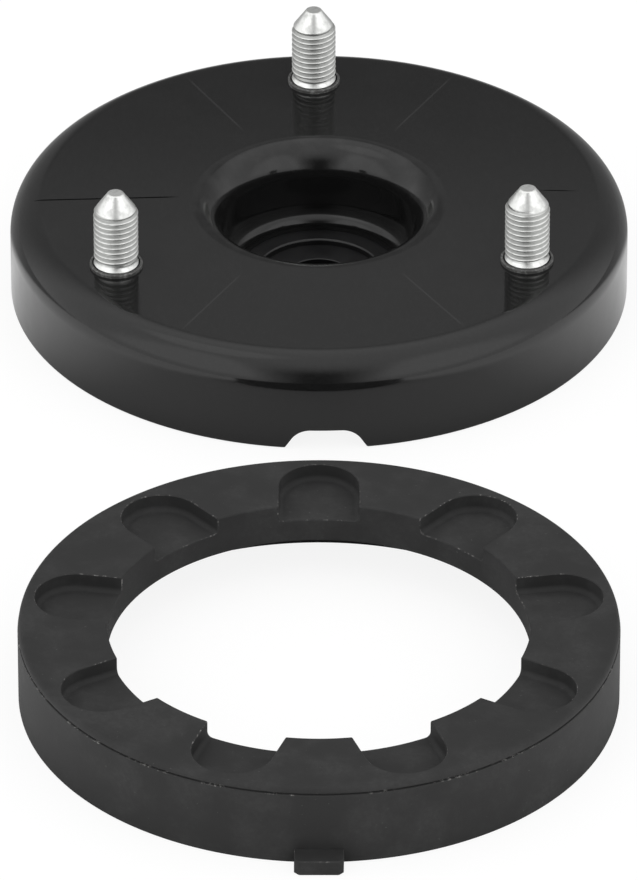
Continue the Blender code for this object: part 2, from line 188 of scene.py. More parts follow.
class StageSettings(bpy.types.PropertyGroup):
    floor: colour("Floor", "Colour of the floor", "#e4e4e4")
    tent: level("Tent", "Brightness of the white tent", 1.05)
    box: level("Light box", "Brightness of the box overhead on the left", 1.4)
    sides: level("Sides", "Brightness of the boxes on both sides of the camera", 1.4)
    back: level("Back", "Brightness of the tent's grey back", 0.36)
    near: level("Near", "Brightness of the dark opening round the camera", 0.06)
    card_foot: level("Card foot", "Brightness of the grey card behind, at its foot", 0.14)
    card_low: level("Card low", "Its brightness where the plate's back edge mirrors it", 0.22)
    card_high: level("Card high", "Its brightness where the plate's middle mirrors it", 0.4)
    # Painted light: the floor itself glows beside the set; no lamp stands there.
    glow: level("Floor glow", "What lamps at the sides add to the floor beside the set", 0.55)
    camera_elevation: turn("Camera elevation", "Angle above the floor", CAMERA_TILT)
    camera_distance: length("Camera distance", "From the aim point on the floor", 3.132)
    focal_pixels: level("Focal length", "Pixels filled by a thing as wide as it is far", 12000.0)


# Modelling helpers


def arc(centre_r, centre_z, radius, start, end, steps=14):
    """Points of a round in a section; angles in degrees, 0 outward and 90 up."""
    points = []
    for step in range(steps + 1):
        angle = math.radians(start + (end - start) * step / steps)
        points.append((centre_r + radius * math.cos(angle), centre_z + radius * math.sin(angle)))
    return points


def tidy_shape(shape):
    """Merges doubles and turns every face outward."""
    bmesh.ops.remove_doubles(shape, verts=shape.verts, dist=MERGE)
    bmesh.ops.recalc_face_normals(shape, faces=shape.faces)


def spun(outline, steps, closed=True):
    """A bmesh turned round Z from a section of radius and height."""
    shape = bmesh.new()
    verts = [shape.verts.new((r, 0.0, z)) for r, z in outline]
    ends = verts[1:] + verts[:1] if closed else verts[1:]
    edges = [shape.edges.new(pair) for pair in zip(verts, ends)]
    bmesh.ops.spin(shape, geom=verts + edges, cent=(0.0, 0.0, 0.0), axis=(0.0, 0.0, 1.0),
                   angle=FULL_TURN, steps=steps, use_merge=True)
    tidy_shape(shape)
    return shape


def prism(outline, low, high):
    """A bmesh extruded along Z from a flat outline in X and Y."""
    shape = bmesh.new()
    face = shape.faces.new([shape.verts.new((x, y, low)) for x, y in outline])
    grown = bmesh.ops.extrude_face_region(shape, geom=[face])
    top = [item for item in grown["geom"] if isinstance(item, bmesh.types.BMVert)]
    bmesh.ops.translate(shape, verts=top, vec=(0.0, 0.0, high - low))
    bmesh.ops.recalc_face_normals(shape, faces=shape.faces)
    return shape


def bevel(shape, edges, width, segments=2, clamped=True):
    return bmesh.ops.bevel(shape, geom=edges, offset=width, segments=segments, affect="EDGES",
                           profile=0.5, material=-1, clamp_overlap=clamped)


def rotate(shape, angle, axis="Z", verts=None):
    """Turns a bmesh, or some of its points, round an axis through zero."""
    bmesh.ops.rotate(shape, verts=verts or shape.verts, cent=(0.0, 0.0, 0.0),
                     matrix=Matrix.Rotation(angle, 3, axis))


def at_height(edge, height):
    return all(abs(vert.co.z - height) < MERGE for vert in edge.verts)


def turned_copies(shape, angles):
    """One bmesh with a copy of the shape at each angle round Z."""
    source = mesh_of(shape, "copied")
    joined = bmesh.new()
    for angle in angles:
        start = len(joined.verts)
        joined.from_mesh(source)
        joined.verts.ensure_lookup_table()
        rotate(joined, angle, verts=joined.verts[start:])
    bpy.data.meshes.remove(source)
    return joined


def mesh_of(shape, name):
    """A mesh from a bmesh, which is freed."""
    mesh = bpy.data.meshes.new(name)
    shape.to_mesh(mesh)
    shape.free()
    return mesh


def combined(base, tool, operation):
    """The bmesh of base joined with, or cut by, tool."""
    body = bpy.data.objects.new("body", mesh_of(base, "body"))
    other = bpy.data.objects.new("tool", mesh_of(tool, "tool"))
    for obj in (body, other):
        bpy.context.scene.collection.objects.link(obj)
    boolean = body.modifiers.new("Join", "BOOLEAN")
    boolean.operation = operation
    boolean.solver = "EXACT"
    boolean.object = other
    graph = bpy.context.evaluated_depsgraph_get()
    result = bmesh.new()
    result.from_mesh(body.evaluated_get(graph).to_mesh())
    for obj in (body, other):
        mesh = obj.data
        bpy.data.objects.remove(obj, do_unlink=True)
        bpy.data.meshes.remove(mesh)
    return result


def lug_angles():
    return [RIGHT_ANGLE + FULL_TURN * index / LUG_COUNT for index in range(LUG_COUNT)]


def stud_angles():
    return lug_angles()[::STUD_EVERY]


def u_outline(end_radius, inner_radius, steps):
    """A U with its round end outward on the bolt circle and its square end inward."""
    points = [(inner_radius, -end_radius)]
    points += arc(BOLT_CIRCLE_RADIUS, 0.0, end_radius, -90.0, 90.0, steps)
    return points + [(inner_radius, end_radius)]


def add_piece(name, shape, place, materials, node, sharp=35.0):
    """Makes the finished object of a bmesh in its place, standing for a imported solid."""
    bmesh.ops.transform(shape, matrix=place, verts=shape.verts)
    mesh = mesh_of(shape, name)
    mesh.shade_smooth()
    mesh.set_sharp_from_angle(angle=math.radians(sharp))
    for material in materials:
        mesh.materials.append(material)
    piece = bpy.data.objects.new(name, mesh)
    bpy.context.scene.collection.objects.link(piece)
    normals = piece.modifiers.new("Flat faces lead", "WEIGHTED_NORMAL")
    normals.keep_sharp = True
    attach(piece, "root")
    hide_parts(node)
    return piece


# Material helpers


def add_node(tree, kind, sockets=None, **settings):
    """Adds a node; sockets gives values or output sockets by input name or number."""
    node = tree.nodes.new(kind)
    for name, value in settings.items():
        setattr(node, name, value)
    for key, value in (sockets or {}).items():
        if isinstance(value, bpy.types.NodeSocket):
            tree.links.new(value, node.inputs[key])
        else:
            node.inputs[key].default_value = value
    return node


def new_material(name):
    material = bpy.data.materials.new(name)
    material.use_nodes = True
    tree = material.node_tree
    return material, tree, tree.nodes["Principled BSDF"]


def centred(tree, centre):
    """Object coordinates in metres, measured from a point."""
    coordinates = add_node(tree, "ShaderNodeTexCoord")
    shifted = add_node(tree, "ShaderNodeMapping",
                       {"Vector": coordinates.outputs["Object"], "Location": -Vector(centre)})
    return shifted.outputs["Vector"]


def math_node(tree, operation, first, second=0.0):
    return add_node(tree, "ShaderNodeMath", {0: first, 1: second}, operation=operation).outputs[0]


def product(tree, first, second):
    return math_node(tree, "MULTIPLY", first, second)


def split(tree, vector):
    """The X, Y and Z of a vector."""
    parts = add_node(tree, "ShaderNodeSeparateXYZ", {0: vector})
    return [parts.outputs[axis] for axis in "XYZ"]


def reach_of(tree, vector):
    return add_node(tree, "ShaderNodeVectorMath", {0: vector}, operation="LENGTH").outputs["Value"]


def ramp(tree, value, low, high, start=0.0, end=1.0, way="SMOOTHSTEP"):
    """Eases from start to end as value goes from low to high."""
    node = add_node(tree, "ShaderNodeMapRange",
                    {"Value": value, "From Min": low, "From Max": high,
                     "To Min": start, "To Max": end}, interpolation_type=way)
    return node.outputs["Result"]


def fall(tree, value, low, high):
    """1 below low, 0 above high."""
    return ramp(tree, value, low, high, 1.0, 0.0)


def cloud(tree, vector, size, detail=2.0, rough=0.5):
    """Noise whose patches are about size across, in metres."""
    node = add_node(tree, "ShaderNodeTexNoise",
                    {"Vector": vector, "Scale": 1.0 / size, "Detail": detail, "Roughness": rough})
    return node.outputs["Fac"]


def blend(tree, factor, first, second):
    """Mixes two colours by a factor."""
    node = add_node(tree, "ShaderNodeMix", {"Factor": factor, "A": first, "B": second},
                    data_type="RGBA")
    return node.outputs["Result"]


def mix_levels(tree, factor, first, second):
    """Mixes two numbers by a factor."""
    node = add_node(tree, "ShaderNodeMix", {"Factor": factor, "A": first, "B": second})
    return node.outputs["Result"]


def bump_node(tree, height, distance, **sockets):
    """The normal of a pattern, distance deep in metres; Normal sets it on another bump."""
    sockets = {"Height": height, "Distance": distance, **sockets}
    return add_node(tree, "ShaderNodeBump", sockets).outputs["Normal"]


def rgba(colour_value):
    return (*colour_value, 1.0)


def from_axis(tree, place):
    """Distance from the Z axis of a place."""
    x, y, _ = split(tree, place)
    return reach_of(tree, add_node(tree, "ShaderNodeCombineXYZ", {"X": x, "Y": y}).outputs[0])


def line_mark(tree, place, start, end, width, fade):
    """1 along a straight line between two points on the plate, 0 away from it."""
    run = Vector(end) - Vector(start)
    turn_back = -math.atan2(run.y, run.x)
    foot = Matrix.Rotation(turn_back, 2) @ Vector(start)
    local = add_node(tree, "ShaderNodeMapping",
                     {"Vector": place, "Rotation": (0.0, 0.0, turn_back),
                      "Location": (-foot.x, -foot.y, 0.0)})
    along, off, _ = split(tree, local.outputs["Vector"])
    across = fall(tree, math_node(tree, "ABSOLUTE", off), 0.3 * width, width)
    entering = ramp(tree, along, 0.0, fade)
    leaving = fall(tree, along, run.length - fade, run.length)
    return product(tree, across, product(tree, entering, leaving))


def polar(radius, degrees):
    return (radius * math.cos(math.radians(degrees)), radius * math.sin(math.radians(degrees)))


# Housing

WITNESS_ANGLES = (-119.0, -59.0, 61.0, 119.0)
WITNESS_START = 40.5 * MM
WITNESS_END = 75.0 * MM
WITNESS_WIDTH = 0.35 * MM
WITNESS_FADE = 6.0 * MM
KNIT_LEFT = ((-77.0 * MM, 0.3 * MM), (-37.0 * MM, 2.2 * MM), 0.55 * MM)
KNIT_RIGHT = ((57.0 * MM, 5.6 * MM), (69.0 * MM, 5.2 * MM), 0.4 * MM)
KNIT_DEPTH = 0.3 * MM
KNIT_POINT = 4.0 * MM
PRESSED_GAP = 0.05 * MM
SEAT_COVER = 1.6 * MM
COLLAR_RADIUS = 7.0 * MM
COLLAR_BORE = 6.3 * MM
COLLAR_EDGE = 0.3 * MM
LUG_DEPTH = 4.2 * MM
LUG_END_RADIUS = 9.85 * MM
LUG_INNER_RADIUS = 54.0 * MM
LUG_EDGE = 0.5 * MM
WEB_FOOT = 4.0 * MM
WEB_THICKNESS = 3.0 * MM
HEAD_COVER = 2.8 * MM
NOTCH_HALF_WIDTH = 11.0 * MM
NOTCH_TAPER = 3.7 * MM
NOTCH_ROUND = 6.0 * MM
NOTCH_FOOT_ROUND = 1.4 * MM
RIPPLE_SIZE = 2.5 * MM
RIPPLE_HEIGHT = 0.0015 * MM
SINK_SIZE = 7.0 * MM
SINK_HEIGHT = 0.04 * MM
SCUFF_AND_SHEEN_SIZE = 5.0 * MM
SKIN_PATCH_SIZE = 14.0 * MM
MARK_HEIGHT = 0.01 * MM


def housing_outline(sizes):
    """Section of the cup, from the lip over the shoulder, round the inside and up the bore."""
    top = sizes.height
    under = top - sizes.plate_thickness
    fillet = 2.5 * MM
    edge = 0.8 * MM
    inner = sizes.rim_radius - sizes.skirt_wall
    hub = sizes.bore_radius + sizes.hub_wall
    ledge_under = ROD_SEAT_HIGH.z + PRESSED_GAP
    seat = ROD_SEAT_RADIUS + SEAT_GAP
    hub_foot = ROD_SEAT_LOW.z + SEAT_COVER
    lip = sizes.lip_radius
    shoulder = sizes.shoulder_radius
    outline = arc(sizes.bore_radius + lip, top - lip, lip, 180.0, 90.0, 28)
    outline += arc(sizes.rim_radius - shoulder, top - shoulder, shoulder, 90.0, 0.0, 28)
    outline += arc(sizes.rim_radius - edge, edge, edge, 0.0, -90.0, 4)
    outline += arc(inner + edge / 2.0, edge / 2.0, edge / 2.0, -90.0, -180.0, 3)
    outline += arc(inner - fillet, under - fillet, fillet, 0.0, 90.0, 6)
    outline += arc(hub + fillet, under - fillet, fillet, 90.0, 180.0, 6)
    outline += [(hub, hub_foot), (seat, hub_foot), (seat, ledge_under),
                (sizes.ledge_radius, ledge_under)]
    outline += arc(sizes.ledge_radius + sizes.ledge_round, sizes.ledge_height - sizes.ledge_round,
                   sizes.ledge_round, 180.0, 90.0, 10)
    return outline + [(sizes.bore_radius, sizes.ledge_height)]


def collar_rings(sizes):
    """Low raised rings round the studs, with a rounded edge."""
    edge = COLLAR_EDGE
    top = sizes.height + COLLAR_HEIGHT
    below = sizes.height - OVERRUN
    outline = [(0.0, top)] + arc(COLLAR_RADIUS - edge, top - edge, edge, 90.0, 0.0, 6)
    outline += [(COLLAR_RADIUS, below), (0.0, below)]
    ring = spun(outline, SMALL_STEPS, closed=False)
    bmesh.ops.translate(ring, verts=ring.verts, vec=(BOLT_CIRCLE_RADIUS, 0.0, 0.0))
    return turned_copies(ring, stud_angles())


def lugs(sizes):
    """Round-ended lugs under the plate that key into the isolator's pockets."""
    under = sizes.height - sizes.plate_thickness
    foot = under - LUG_DEPTH
    lug = prism(u_outline(LUG_END_RADIUS, LUG_INNER_RADIUS, 24), foot, under + OVERRUN)
    bevel(lug, [edge for edge in lug.edges if at_height(edge, foot)], LUG_EDGE)
    return turned_copies(lug, lug_angles())


def webs(sizes):
    """Sloping webs from the hub's foot out to each lug."""
    under = sizes.height - sizes.plate_thickness
    hub = sizes.bore_radius + sizes.hub_wall
    inner = hub - sizes.hub_wall / 2.0
    outer = LUG_INNER_RADIUS + OVERRUN
    half = WEB_THICKNESS / 2.0
    outline = [(inner, WEB_FOOT), (hub + OVERRUN, WEB_FOOT), (outer, under - LUG_DEPTH),
               (outer, under + OVERRUN), (inner, under + OVERRUN)]
    web = prism(outline, -half, half)
    rotate(web, RIGHT_ANGLE, "X")
    return turned_copies(web, lug_angles())


def stud_bores(sizes):
    """Stepped holes that the studs are pressed up into."""
    above = sizes.height + COLLAR_HEIGHT + OVERRUN
    below = sizes.height - sizes.plate_thickness - LUG_DEPTH - OVERRUN
    cover = sizes.height - HEAD_COVER
    head = HEAD_RADIUS + SEAT_GAP
    outline = [(0.0, above), (COLLAR_BORE, above), (COLLAR_BORE, cover), (head, cover),
               (head, below), (0.0, below)]
    hole = spun(outline, SMALL_STEPS, closed=False)
    bmesh.ops.translate(hole, verts=hole.verts, vec=(BOLT_CIRCLE_RADIUS, 0.0, 0.0))
    return turned_copies(hole, stud_angles())


def rim_notch(sizes):
    """Cutter for the notch in the rim, with sloping sides and round corners."""
    height = sizes.notch_height
    slope = math.atan2(height, NOTCH_TAPER)
    tilt = math.degrees(slope)
    foot_end = NOTCH_HALF_WIDTH + NOTCH_FOOT_ROUND * math.tan(slope / 2.0)
    crown_end = NOTCH_HALF_WIDTH - NOTCH_TAPER - NOTCH_ROUND * math.tan(slope / 2.0)
    right = [(foot_end, -OVERRUN)]
    right += arc(foot_end, NOTCH_FOOT_ROUND, NOTCH_FOOT_ROUND, -90.0, -90.0 - tilt, 10)
    right += arc(crown_end, height - NOTCH_ROUND, NOTCH_ROUND, 90.0 - tilt, 90.0, 14)
    outline = right + [(-x, z) for x, z in reversed(right)]
    inner = sizes.rim_radius - sizes.skirt_wall
    notch = prism(outline, inner - OVERRUN, sizes.rim_radius + OVERRUN)
    rotate(notch, RIGHT_ANGLE, "X")
    return notch


def knit_groove(sizes, start, end, width):
    """Cutter for the hairline where two flows of the melt met, pointed at both ends."""
    run = Vector(end) - Vector(start)
    half = width / 2.0
    point = KNIT_POINT
    outline = [(0.0, 0.0), (point, -half), (run.length - point, -half), (run.length, 0.0),
               (run.length - point, half), (point, half)]
    groove = prism(outline, sizes.height - KNIT_DEPTH, sizes.height + OVERRUN)
    rotate(groove, math.atan2(run.y, run.x))
    bmesh.ops.translate(groove, verts=groove.verts, vec=(*start, 0.0))
    rotate(groove, -MOUNT_TURN)
    return groove


def joined(first, second):
    """One bmesh that holds two separate shapes."""
    mesh = mesh_of(second, "joined")
    first.from_mesh(mesh)
    bpy.data.meshes.remove(mesh)
    return first


def witness_lines(tree, place, sizes):
    """Faint lines that the mould's slides leave on top of the plate."""
    witness = 0.0
    for degrees in WITNESS_ANGLES:
        line = line_mark(tree, place, polar(WITNESS_START, degrees), polar(WITNESS_END, degrees),
                         WITNESS_WIDTH, WITNESS_FADE)
        witness = math_node(tree, "MAXIMUM", line, witness)
    height = split(tree, place)[2]
    on_top = ramp(tree, height, sizes.height - 1.0 * MM, sizes.height - 0.4 * MM)
    return product(tree, witness, on_top)


def thick_places(tree, place, sizes):
    """Masks of the lip and of the shoulder, where the thick melt sinks a little."""
    reach = from_axis(tree, place)
    lip_end = sizes.bore_radius + sizes.lip_radius
    shoulder_start = sizes.rim_radius - sizes.shoulder_radius
    inside = fall(tree, reach, lip_end - 3.0 * MM, lip_end + 1.0 * MM)
    height = split(tree, place)[2]
    lip_foot = sizes.height - sizes.lip_radius
    above_wall = ramp(tree, height, lip_foot + 1.0 * MM, lip_foot + 4.0 * MM)
    on_shoulder = ramp(tree, reach, shoulder_start, shoulder_start + 5.0 * MM)
    return product(tree, inside, above_wall), on_shoulder


def whitened_material(settings):
    """The same nylon, stress-whitened where the studs were pressed in: grey and scuffed."""
    material, tree, shader = new_material("stress_whitened_nylon")
    place = centred(tree, MOUNT_AXIS)
    scuffs = ramp(tree, cloud(tree, place, 0.9 * MM, 3.0, 0.6), 0.45, 0.75)
    tone = blend(tree, scuffs, rgba(settings.pressed), rgba(linear("#858584")))
    tree.links.new(tone, shader.inputs["Base Color"])
    tree.links.new(ramp(tree, scuffs, 0.0, 1.0, 0.3, 0.5), shader.inputs["Roughness"])
    return material


def nylon_material(settings):
    """Black glass-filled nylon, injection moulded: a glossy skin with a faint ripple and thin
    witness lines where the mould's slides closed."""
    material, tree, shader = new_material("injection_moulded_black_nylon")
    place = centred(tree, MOUNT_AXIS)
    witness = witness_lines(tree, place, settings)
    patches = cloud(tree, place, SKIN_PATCH_SIZE, 3.0)
    # The glass fibres, some 0.02 mm thick, show only as a fine mottle: drawn at 0.8 mm to be seen.
    mottle = cloud(tree, place, 0.8 * MM, 1.0)
    fibres = ramp(tree, mottle, 0.4, 0.75)
    skin = blend(tree, fibres, rgba(settings.moulding), rgba(linear("#1c1c1c")))
    on_lip, on_shoulder = thick_places(tree, place, settings)
    # Lighter patches on the lip: scuffs, and a painted highlight that stands in for the lip's
    # patchy reflection.
    scuff_and_sheen = ramp(tree, cloud(tree, place, SCUFF_AND_SHEEN_SIZE, 2.0, 0.5), 0.4, 0.75)
    scuffed = blend(tree, product(tree, scuff_and_sheen, on_lip), skin, rgba(linear("#242424")))
    lined = blend(tree, witness, scuffed, rgba(linear("#2c2c2c")))
    rough = ramp(tree, patches, 0.3, 0.7, settings.roughness - 0.02, settings.roughness + 0.04)
    thick = math_node(tree, "MAXIMUM", on_lip, on_shoulder)
    waves = product(tree, cloud(tree, place, SINK_SIZE, 1.0), thick)
    ripple = bump_node(tree, cloud(tree, place, RIPPLE_SIZE), RIPPLE_HEIGHT)
    sunk = bump_node(tree, waves, SINK_HEIGHT, Normal=ripple)
    lines = bump_node(tree, witness, MARK_HEIGHT, Normal=sunk)
    tree.links.new(lined, shader.inputs["Base Color"])
    tree.links.new(rough, shader.inputs["Roughness"])
    tree.links.new(lines, shader.inputs["Normal"])
    shader.inputs["IOR"].default_value = 1.47
    return material


class STRUTMOUNT_OT_housing(bpy.types.Operator):
    """Models the moulded mount with its bore, lugs, webs, stud holes and rim notch"""
    bl_idname = "strut_mount.housing"
    bl_label = "Housing"

    def execute(self, context):
        sizes = context.scene.strut_mount_housing
        body = spun(housing_outline(sizes), LARGE_STEPS)
        body = combined(body, joined(collar_rings(sizes), lugs(sizes)), "UNION")
        body = combined(body, webs(sizes), "UNION")
        cuts = joined(rim_notch(sizes), stud_bores(sizes))
        for line in (KNIT_LEFT, KNIT_RIGHT):
            cuts = joined(cuts, knit_groove(sizes, *line))
        body = combined(body, cuts, "DIFFERENCE")
        for face in body.faces:
            face.material_index = int(face.calc_center_median().z > sizes.height + MERGE)
        place = Matrix.Translation(MOUNT_AXIS) @ Matrix.Rotation(MOUNT_TURN, 4, "Z")
        materials = [nylon_material(sizes), whitened_material(sizes)]
        add_piece("housing_moulding", body, place, materials, "housing")
        return {"FINISHED"}


# Rod seat

SHEET = 2.0 * MM
DISH_RADIUS = 16.1 * MM
DISH_BEND = 0.7 * MM
ROD_HOLE_RADIUS = 8.8 * MM
SHEET_EDGE = 0.3 * MM


def steel_material():
    """Deep-drawn sheet steel with a black electrocoat: even, thin and half glossy."""
    material, tree, shader = new_material("electrocoated_pressed_steel")
    place = centred(tree, MOUNT_AXIS)
    rough = ramp(tree, cloud(tree, place, 6.0 * MM), 0.3, 0.7, 0.3, 0.42)
    bump = bump_node(tree, cloud(tree, place, 0.6 * MM), 0.002 * MM)
    tree.links.new(rough, shader.inputs["Roughness"])
    tree.links.new(bump, shader.inputs["Normal"])
    shader.inputs["Base Color"].default_value = rgba(linear("#141415"))
    return material


class STRUTMOUNT_OT_rod_seat(bpy.types.Operator):
    """Models the dished washer in the bore with the hole for the strut rod"""
    bl_idname = "strut_mount.rod_seat"
    bl_label = "Rod seat"

    def execute(self, context):
        top = ROD_SEAT_HIGH.z
        floor = ROD_SEAT_LOW.z + SHEET
        radius, dish, bend, edge = ROD_SEAT_RADIUS, DISH_RADIUS, DISH_BEND, SHEET_EDGE
        outline = arc(ROD_HOLE_RADIUS + edge, floor - edge, edge, 180.0, 90.0, 3)
        outline += [(dish, floor)]
        outline += arc(dish + bend, top - bend, bend, 170.0, 90.0, 6)
        outline += arc(radius - edge, top - edge, edge, 90.0, 0.0, 3)
        outline += [(radius, top - SHEET), (dish + SHEET, top - SHEET),
                    (dish + SHEET - bend, floor - SHEET), (ROD_HOLE_RADIUS, floor - SHEET)]
        seat = spun(outline, SEAT_STEPS)
        add_piece("rod_seat_washer", seat, Matrix.Translation(MOUNT_AXIS), [steel_material()],
                  "rod_seat")
        return {"FINISHED"}


# Studs

STUD_SIDES = 56
NOSE_STEP = 0.55 * MM
RUN_OUT = 1.0 * MM
HEAD_EDGE = 0.4 * MM
THREAD_SOFTNESS = 0.07 * MM
THREAD_SHARES = (0.0, 0.12, 0.43, 0.485, 0.515, 0.57, 0.88, 1.0)
THREAD_START = 2.1
THREAD_SHARP = 50.0
FLARE_STEPS = 8


def tip_round(sizes, tip):
    """Points of the round at the tip, from the cone up to the flat."""
    return arc(sizes.tip_flat, tip - sizes.tip_round, sizes.tip_round,
               math.degrees(sizes.nose_angle), 90.0, 5)


def nose_foot(sizes, tip):
    """Height at which the cone of the nose begins."""
    cone_radius, cone_top = tip_round(sizes, tip)[0]
    return cone_top - (sizes.thread_radius - NOSE_STEP - cone_radius) / math.tan(sizes.nose_angle)


def largest_radius(height, sizes, tip):
    """Radius that the thread is turned down to by the cone, its run-out and the neck."""
    cone_radius, cone_top = tip_round(sizes, tip)[0]
    foot_radius = sizes.thread_radius - NOSE_STEP
    foot = nose_foot(sizes, tip)
    if height > foot:
        return cone_radius + (cone_top - height) * math.tan(sizes.nose_angle)
    run_out = foot_radius + NOSE_STEP * min((foot - height) / RUN_OUT, 1.0)
    return min(run_out, sizes.neck_radius + max(height - sizes.neck_height, 0.0))


def thread_turns(sizes, low, high):
    """A helix of thread between two heights, open at both ends."""
    pitch, crest = sizes.pitch, sizes.thread_radius
    root = crest - sizes.thread_depth
    near_root, near_crest = root + THREAD_SOFTNESS / 2.0, crest - THREAD_SOFTNESS
    radii = (root, near_root, near_crest, crest, crest, near_crest, near_root, root)
    section = [(radius, pitch * share_up) for radius, share_up in zip(radii, THREAD_SHARES)]
    turns = math.ceil((high - low) / pitch) + 2
    shape = bmesh.new()
    verts = [shape.verts.new((r, 0.0, low - pitch + z)) for r, z in section]
    edges = [shape.edges.new(pair) for pair in zip(verts, verts[1:])]
    bmesh.ops.spin(shape, geom=verts + edges, cent=(0.0, 0.0, 0.0), axis=(0.0, 0.0, 1.0),
                   dvec=(0.0, 0.0, pitch / STUD_SIDES), angle=FULL_TURN * turns,
                   steps=STUD_SIDES * turns)
    bmesh.ops.remove_doubles(shape, verts=shape.verts, dist=MERGE)
    return shape


def set_radius(vert, radius):
    reach = math.hypot(vert.co.x, vert.co.y)
    vert.co.x *= radius / reach
    vert.co.y *= radius / reach


def open_edges(shape, height):
    """Edges of the open loop at a height."""
    return [edge for edge in shape.edges if edge.is_boundary and at_height(edge, height)]


def grow(shape, loop, radius, height):
    """Extrudes an open loop to a new radius and height; returns the new loop."""
    grown = bmesh.ops.extrude_edge_only(shape, edges=loop)["geom"]
    for vert in (item for item in grown if isinstance(item, bmesh.types.BMVert)):
        set_radius(vert, radius)
        vert.co.z = height
    return [item for item in grown
            if isinstance(item, bmesh.types.BMEdge) and at_height(item, height)]


def cap(shape, loop):
    bmesh.ops.edgeloop_fill(shape, edges=loop)


def stud_shape(sizes):
    """Threaded stud; zero is the top of the plate."""
    tip = TIP_ABOVE_PLATE
    foot = STUD_LOW.z - PLATE_TOP
    head_top = -HEAD_COVER - SEAT_GAP
    head = HEAD_RADIUS
    cone_to_flat = tip_round(sizes, tip)
    cone_top = cone_to_flat[0][1]
    shape = thread_turns(sizes, sizes.neck_height, cone_top)
    for vert in shape.verts:
        reach = math.hypot(vert.co.x, vert.co.y)
        set_radius(vert, min(reach, largest_radius(vert.co.z, sizes, tip)))
    for height, above in ((cone_top, True), (sizes.neck_height, False)):
        geom = shape.verts[:] + shape.edges[:] + shape.faces[:]
        bmesh.ops.bisect_plane(shape, geom=geom, dist=MERGE, plane_co=(0.0, 0.0, height),
                               plane_no=(0.0, 0.0, 1.0), clear_outer=above, clear_inner=not above)
    loop = open_edges(shape, cone_top)
    for radius, height in cone_to_flat[1:]:
        loop = grow(shape, loop, radius, height)
    cap(shape, loop)
    flare = sizes.flare_radius - sizes.neck_radius
    drop = sizes.neck_height - COLLAR_HEIGHT
    below = []
    for step in range(1, FLARE_STEPS + 1):
        way = step / FLARE_STEPS
        below.append((sizes.neck_radius + flare * way ** 2, sizes.neck_height - drop * way))
    below += [(sizes.flare_radius, head_top), (head - HEAD_EDGE, head_top),
              (head, head_top - HEAD_EDGE), (head, foot + HEAD_EDGE), (head - HEAD_EDGE, foot)]
    loop = open_edges(shape, sizes.neck_height)
    for radius, height in below:
        loop = grow(shape, loop, radius, height)
    cap(shape, loop)
    bmesh.ops.recalc_face_normals(shape, faces=shape.faces)
    return shape


def thread_valleys(tree, place, sizes):
    """1 down in the thread, where painted shade darkens the plate and its finish is duller, 0 on
    its crests and the nose.
    """
    crest = sizes.thread_radius - 0.06 * MM
    away = fall(tree, from_axis(tree, place), crest - 0.3 * MM, crest)
    height = split(tree, place)[2]
    nose = nose_foot(sizes, TIP_ABOVE_PLATE)
    above_neck = ramp(tree, height, sizes.neck_height, sizes.neck_height + 0.4 * MM)
    under_nose = fall(tree, height, nose - 0.4 * MM, nose)
    return product(tree, away, product(tree, above_neck, under_nose))


def zinc_material(settings, name, foot):
    """Cold-headed steel with a rolled thread, zinc electroplated: bright, slightly cloudy metal,
    duller down in the thread, where its colour is darkened as painted shade."""
    material, tree, shader = new_material("zinc_electroplated_" + name)
    place = centred(tree, foot)
    cloudy = cloud(tree, place, 1.6 * MM, 3.0)
    veil = ramp(tree, cloudy, 0.4, 0.75)
    plated = blend(tree, veil, rgba(settings.plating), rgba(linear("#d3d4d2")))
    shade_and_dull = thread_valleys(tree, place, settings)
    # Painted shade: the valleys are darkened to the valley colour; they are also made rougher.
    tint = blend(tree, shade_and_dull, plated, rgba(settings.valley_shade))
    even = ramp(tree, cloudy, 0.3, 0.7, settings.roughness - 0.04, settings.roughness + 0.04)
    rough = math_node(tree, "ADD", even, product(tree, shade_and_dull, 0.12))
    # Plating grain is near 0.01 mm; drawn at 0.4 mm so that it breaks up the highlights.
    grain = bump_node(tree, cloud(tree, place, 0.4 * MM), 0.001 * MM)
    tree.links.new(tint, shader.inputs["Base Color"])
    tree.links.new(rough, shader.inputs["Roughness"])
    tree.links.new(grain, shader.inputs["Normal"])
    shader.inputs["Metallic"].default_value = 1.0
    return material


class STRUTMOUNT_OT_studs(bpy.types.Operator):
    """Models the three studs with their threads, noses and heads"""
    bl_idname = "strut_mount.studs"
    bl_label = "Studs"

    def execute(self, context):
        sizes = context.scene.strut_mount_studs
        for index, name in enumerate(STUD_NAMES):
            foot = on_floor(middle(name)) + Vector((0.0, 0.0, PLATE_TOP))
            place = Matrix.Translation(foot) @ Matrix.Rotation(index * THREAD_START, 4, "Z")
            zinc = zinc_material(sizes, name, foot)
            add_piece(name + "_plated", stud_shape(sizes), place, [zinc], name,
                      THREAD_SHARP)
        return {"FINISHED"}


# Isolator

PARTING_STEP = 0.15 * MM
PARTING_GROOVE = 0.5 * MM
RUBBED_EDGE = 0.22 * MM
RUBBED_ANGLE = math.radians(40.0)
COIL_FILLET = 5.0 * MM
RING_EDGE = 0.5 * MM
TAB_CORNER = 1.2 * MM
TAB_EDGE = 0.35 * MM


def parting_height(sizes):
    """Height of the line where the two halves of the mould meet."""
    return sizes.height - sizes.edge_round - 0.6 * MM


